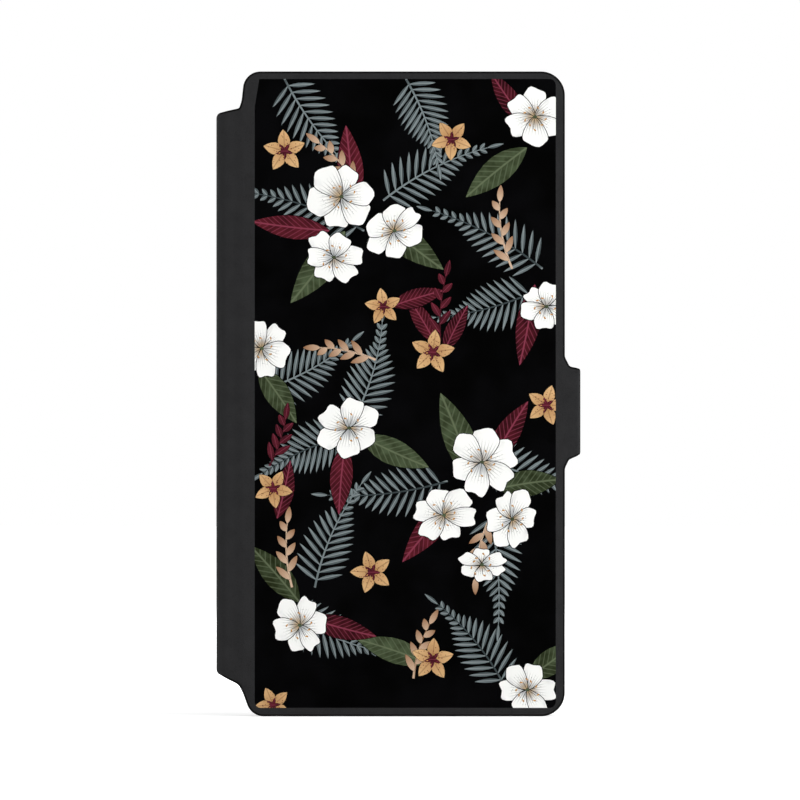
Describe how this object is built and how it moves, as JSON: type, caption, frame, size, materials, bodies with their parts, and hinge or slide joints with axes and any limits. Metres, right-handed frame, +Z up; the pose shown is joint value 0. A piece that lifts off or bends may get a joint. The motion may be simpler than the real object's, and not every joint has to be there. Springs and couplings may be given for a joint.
{
  "type": "folio phone case",
  "caption": "Closed black leather folio case for a large slab phone, with a printed front panel, a notched spine loop, a moulded tray and a magnetic side strap.",
  "frame": {"origin": "middle of the bounding box at the lower edges of the covers, which the closed case stands on", "axes": "+X to the right and +Z up as the closed case is seen from the front; the printed front faces -Y and the rear cover +Y"},
  "size_m": [0.096, 0.0164, 0.17],
  "materials": {
    "leather": "black fine-grained polyurethane leather, satin",
    "print": null,
    "microfibre": "black brushed microfibre lining",
    "board": "grey-brown pressed fibre board",
    "tray": "black moulded polycarbonate, matte",
    "adhesive": "milky double-sided adhesive sheet",
    "steel": "zinc-plated spring steel plate",
    "magnet": "nickel-plated block magnet"
  },
  "bodies": {
    "rear_cover": {"rear_skin": "leather", "rear_board": "board", "rear_lining": "microfibre", "tray_adhesive": "adhesive", "phone_tray": "tray", "keeper_plate": "steel"},
    "volume_key": {"volume_button": "tray"},
    "power_key": {"power_button": "tray"},
    "spine": {"spine_skin": "leather", "spine_board": "board", "spine_lining": "microfibre"},
    "front_cover": {"front_skin": "leather", "print_panel": "print", "front_board": "board", "front_lining": "microfibre", "cash_pocket": "leather", "card_pocket_1": "leather", "card_pocket_2": "leather", "card_pocket_3": "leather"},
    "closing_tab": {"tab_skin": "leather", "tab_lining": "microfibre", "tab_pad": "leather", "tab_magnet": "magnet"}
  },
  "joints": [
    {"name": "spine_fold", "type": "hinge", "parent": "rear_cover", "child": "spine", "pos_m": [-0.0412, 0.0082, 0.085], "axis": [0, 0, -1], "range_deg": [0, 175]},
    {"name": "cover_fold", "type": "hinge", "parent": "spine", "child": "front_cover", "pos_m": [-0.0412, -0.0082, 0.085], "axis": [0, 0, -1], "range_deg": [0, 175]},
    {"name": "tab_fold", "type": "hinge", "parent": "front_cover", "child": "closing_tab", "pos_m": [0.0471, -0.0073, 0.0801], "axis": [0, 0, -1], "range_deg": [0, 120]},
    {"name": "volume_press", "type": "slide", "parent": "rear_cover", "child": "volume_key", "axis": [-1, 0, 0], "range_m": [0, 0.00035], "stiffness_N_per_m": 1500},
    {"name": "power_press", "type": "slide", "parent": "rear_cover", "child": "power_key", "axis": [-1, 0, 0], "range_m": [0, 0.00035], "stiffness_N_per_m": 1500}
  ]
}
